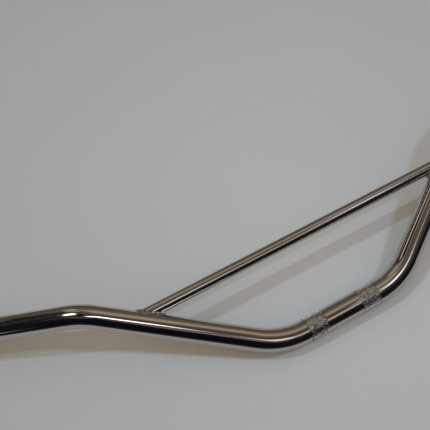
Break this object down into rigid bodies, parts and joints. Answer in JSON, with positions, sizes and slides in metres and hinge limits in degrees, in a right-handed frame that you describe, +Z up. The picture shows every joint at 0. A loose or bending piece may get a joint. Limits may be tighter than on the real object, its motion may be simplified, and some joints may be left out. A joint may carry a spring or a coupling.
{
  "type": "motorcycle handlebar",
  "caption": "Chromed steel motorcycle handlebar: a bent tube with knurled clamp bands, rises, swept-back grip ends and a welded cross brace, lying on its clamp section and ends.",
  "frame": {"origin": "middle of the clamp section, on the tube's axis", "axes": "+X along the clamp section to the clutch side (rider's left), +Y from the clamp section towards the grips, +Z up from the surface on which the bar lies"},
  "size_m": [0.8622, 0.2158, 0.0524],
  "materials": {
    "chrome_plate": "bright polished chrome plate",
    "plated_weld": "chrome plate over a rippled weld bead"
  },
  "bodies": {
    "root": {"bar_tube": "chrome_plate", "cross_brace": "chrome_plate", "clutch_side_weld": "plated_weld", "throttle_side_weld": "plated_weld"}
  },
  "joints": []
}
